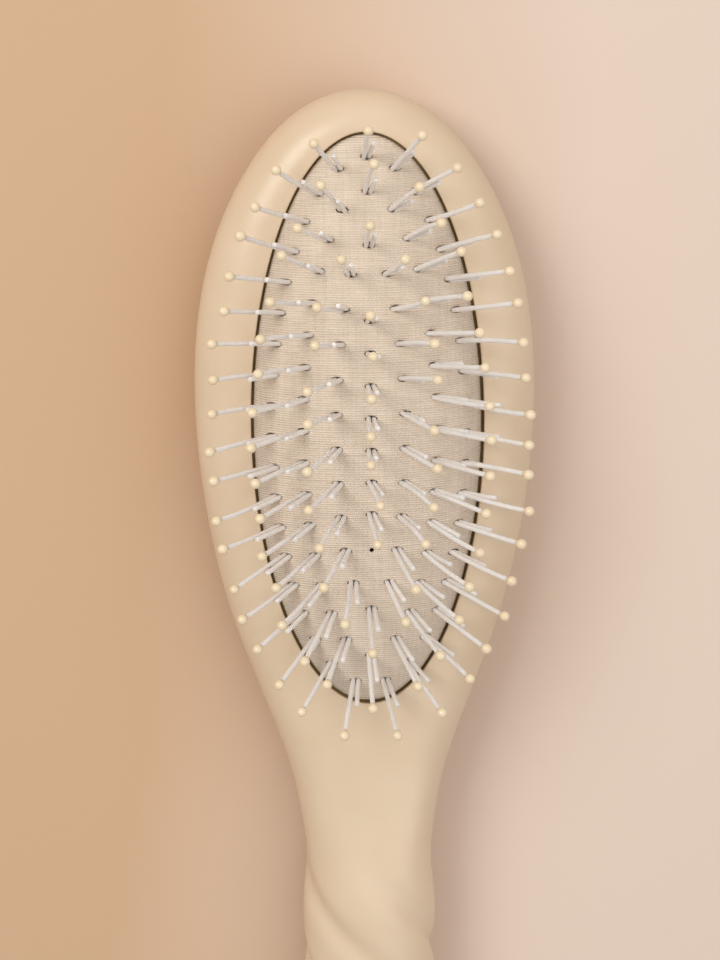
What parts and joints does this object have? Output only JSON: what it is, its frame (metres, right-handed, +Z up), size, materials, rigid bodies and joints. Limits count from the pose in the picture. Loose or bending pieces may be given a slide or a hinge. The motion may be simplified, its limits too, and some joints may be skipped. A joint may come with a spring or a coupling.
{
  "type": "cushion hair brush",
  "caption": "Oval pneumatic cushion hair brush with a fabric-faced dome, folded ball-tip pins, a smooth neck and a twisted lobed handle.",
  "frame": {"origin": "on the surface that the brush lies on, under the middle of its length and width", "axes": "+Y along the brush towards the head's tip, +Z up, the way the pins point, +X across the head; the brush lies on its back"},
  "size_m": [0.0656, 0.23, 0.0444],
  "materials": {
    "body_satin": "satin",
    "inner_plastic": "matte",
    "cushion_rubber": "matte",
    "cushion_fabric": "fine woven, ribbed across",
    "anchor_wire": "drawn wire",
    "filament": "semi-clear nylon",
    "tip_bead": "dipped bead"
  },
  "bodies": {
    "root": {"front_shell": "body_satin", "back_shell": "body_satin", "cushion_base": "inner_plastic", "retaining_ring": "inner_plastic", "rubber_membrane": "cushion_rubber", "fabric_face": "cushion_fabric"},
    "centre_row": {"anchors_centre": "anchor_wire"},
    "inner_row": {"anchors_inner": "anchor_wire"},
    "middle_row": {"anchors_middle": "anchor_wire"},
    "outer_row": {"anchors_outer": "anchor_wire"},
    "centre_group_1": {"pins_centre_1": "filament", "tips_centre_1": "tip_bead"},
    "inner_group_1": {"pins_inner_1": "filament", "tips_inner_1": "tip_bead"},
    "inner_group_2": {"pins_inner_2": "filament", "tips_inner_2": "tip_bead"},
    "inner_group_3": {"pins_inner_3": "filament", "tips_inner_3": "tip_bead"},
    "inner_group_4": {"pins_inner_4": "filament", "tips_inner_4": "tip_bead"},
    "middle_group_1": {"pins_middle_1": "filament", "tips_middle_1": "tip_bead"},
    "middle_group_2": {"pins_middle_2": "filament", "tips_middle_2": "tip_bead"},
    "middle_group_3": {"pins_middle_3": "filament", "tips_middle_3": "tip_bead"},
    "middle_group_4": {"pins_middle_4": "filament", "tips_middle_4": "tip_bead"},
    "middle_group_5": {"pins_middle_5": "filament", "tips_middle_5": "tip_bead"},
    "middle_group_6": {"pins_middle_6": "filament", "tips_middle_6": "tip_bead"},
    "outer_group_1": {"pins_outer_1": "filament", "tips_outer_1": "tip_bead"},
    "outer_group_2": {"pins_outer_2": "filament", "tips_outer_2": "tip_bead"},
    "outer_group_3": {"pins_outer_3": "filament", "tips_outer_3": "tip_bead"},
    "outer_group_4": {"pins_outer_4": "filament", "tips_outer_4": "tip_bead"},
    "outer_group_5": {"pins_outer_5": "filament", "tips_outer_5": "tip_bead"},
    "outer_group_6": {"pins_outer_6": "filament", "tips_outer_6": "tip_bead"},
    "outer_group_7": {"pins_outer_7": "filament", "tips_outer_7": "tip_bead"},
    "outer_group_8": {"pins_outer_8": "filament", "tips_outer_8": "tip_bead"}
  },
  "joints": [
    {"name": "cushion_press", "type": "slide", "parent": "root", "child": "centre_row", "axis": [0, 0, -1], "range_m": [0, 0.003], "stiffness_N_per_m": 2500, "deforming": ["rubber_membrane", "fabric_face"]},
    {"name": "inner_row_press", "type": "slide", "parent": "root", "child": "inner_row", "axis": [0, 0, -1], "range_m": [0, 0.00271], "stiffness_N_per_m": 2500},
    {"name": "middle_row_press", "type": "slide", "parent": "root", "child": "middle_row", "axis": [0, 0, -1], "range_m": [0, 0.00207], "stiffness_N_per_m": 2500},
    {"name": "outer_row_press", "type": "slide", "parent": "root", "child": "outer_row", "axis": [0, 0, -1], "range_m": [0, 0.0011], "stiffness_N_per_m": 2500},
    {"name": "tilt_centre_1", "type": "hinge", "parent": "centre_row", "child": "centre_group_1", "pos_m": [0, 0.05449, 0.02448], "axis": [0, 0.9999, -0.0109], "range_deg": [-6, 6], "stiffness_Nm_per_rad": 0.05},
    {"name": "tilt_inner_1", "type": "hinge", "parent": "inner_row", "child": "inner_group_1", "pos_m": [0, 0.07944, 0.02289], "axis": [0.0063, -0.9937, 0.1123], "range_deg": [-3.5, 3.5], "stiffness_Nm_per_rad": 0.05},
    {"name": "tilt_inner_2", "type": "hinge", "parent": "inner_row", "child": "inner_group_2", "pos_m": [0.00532, 0.05198, 0.02415], "axis": [-0.0001, -1, -0.0001], "range_deg": [-6, 6], "stiffness_Nm_per_rad": 0.05},
    {"name": "tilt_inner_3", "type": "hinge", "parent": "inner_row", "child": "inner_group_3", "pos_m": [0, 0.02456, 0.02289], "axis": [-0.0063, 0.9937, 0.1123], "range_deg": [-3.5, 3.5], "stiffness_Nm_per_rad": 0.05},
    {"name": "tilt_inner_4", "type": "hinge", "parent": "inner_row", "child": "inner_group_4", "pos_m": [-0.00532, 0.05203, 0.02415], "axis": [0.0001, 1, -0.0001], "range_deg": [-6, 6], "stiffness_Nm_per_rad": 0.05},
    {"name": "tilt_middle_1", "type": "hinge", "parent": "middle_row", "child": "middle_group_1", "pos_m": [0.00001, 0.091, 0.02056], "axis": [1, -0.0063, 0.0008], "range_deg": [-3, 3], "stiffness_Nm_per_rad": 0.05},
    {"name": "tilt_middle_2", "type": "hinge", "parent": "middle_row", "child": "middle_group_2", "pos_m": [0.00991, 0.06975, 0.02237], "axis": [0.1198, -0.9915, 0.0516], "range_deg": [-6, 6], "stiffness_Nm_per_rad": 0.05},
    {"name": "tilt_middle_3", "type": "hinge", "parent": "middle_row", "child": "middle_group_3", "pos_m": [0.01012, 0.03714, 0.02246], "axis": [-0.0994, -0.9941, -0.0431], "range_deg": [-6, 6], "stiffness_Nm_per_rad": 0.05},
    {"name": "tilt_middle_4", "type": "hinge", "parent": "middle_row", "child": "middle_group_4", "pos_m": [-0.00001, 0.013, 0.02056], "axis": [-1, 0.0063, 0.0008], "range_deg": [-3, 3], "stiffness_Nm_per_rad": 0.05},
    {"name": "tilt_middle_5", "type": "hinge", "parent": "middle_row", "child": "middle_group_5", "pos_m": [-0.00991, 0.03424, 0.02237], "axis": [-0.1198, 0.9915, 0.0516], "range_deg": [-6, 6], "stiffness_Nm_per_rad": 0.05},
    {"name": "tilt_middle_6", "type": "hinge", "parent": "middle_row", "child": "middle_group_6", "pos_m": [-0.01012, 0.06685, 0.02246], "axis": [0.0992, 0.9941, -0.043], "range_deg": [-6, 6], "stiffness_Nm_per_rad": 0.05},
    {"name": "tilt_outer_1", "type": "hinge", "parent": "outer_row", "child": "outer_group_1", "pos_m": [0.00001, 0.09845, 0.01803], "axis": [1, -0.0033, 0.0003], "range_deg": [-3.5, 3.5], "stiffness_Nm_per_rad": 0.05},
    {"name": "tilt_outer_2", "type": "hinge", "parent": "outer_row", "child": "outer_group_2", "pos_m": [0.01344, 0.07919, 0.01927], "axis": [0.2235, -0.9737, 0.0439], "range_deg": [-6, 6], "stiffness_Nm_per_rad": 0.05},
    {"name": "tilt_outer_3", "type": "hinge", "parent": "outer_row", "child": "outer_group_3", "pos_m": [0.01632, 0.05051, 0.01986], "axis": [-0.0105, -0.9999, -0.0023], "range_deg": [-6, 6], "stiffness_Nm_per_rad": 0.05},
    {"name": "tilt_outer_4", "type": "hinge", "parent": "outer_row", "child": "outer_group_4", "pos_m": [0.01271, 0.02198, 0.01914], "axis": [-0.2583, -0.9648, -0.0491], "range_deg": [-6, 6], "stiffness_Nm_per_rad": 0.05},
    {"name": "tilt_outer_5", "type": "hinge", "parent": "outer_row", "child": "outer_group_5", "pos_m": [-0.00001, 0.00449, 0.01794], "axis": [-1, 0.0027, 0.0003], "range_deg": [-6, 6], "stiffness_Nm_per_rad": 0.05},
    {"name": "tilt_outer_6", "type": "hinge", "parent": "outer_row", "child": "outer_group_6", "pos_m": [-0.01273, 0.02204, 0.01914], "axis": [-0.2575, 0.965, 0.049], "range_deg": [-6, 6], "stiffness_Nm_per_rad": 0.05},
    {"name": "tilt_outer_7", "type": "hinge", "parent": "outer_row", "child": "outer_group_7", "pos_m": [-0.01632, 0.05059, 0.01986], "axis": [-0.01, 0.9999, 0.0022], "range_deg": [-6, 6], "stiffness_Nm_per_rad": 0.05},
    {"name": "tilt_outer_8", "type": "hinge", "parent": "outer_row", "child": "outer_group_8", "pos_m": [-0.01342, 0.07925, 0.01927], "axis": [0.2242, 0.9735, -0.044], "range_deg": [-6, 6], "stiffness_Nm_per_rad": 0.05}
  ],
  "couplings": [
    {"joint": "inner_row_press", "follows": "cushion_press", "ratio": 0.888},
    {"joint": "middle_row_press", "follows": "cushion_press", "ratio": 0.674},
    {"joint": "outer_row_press", "follows": "cushion_press", "ratio": 0.35}
  ]
}
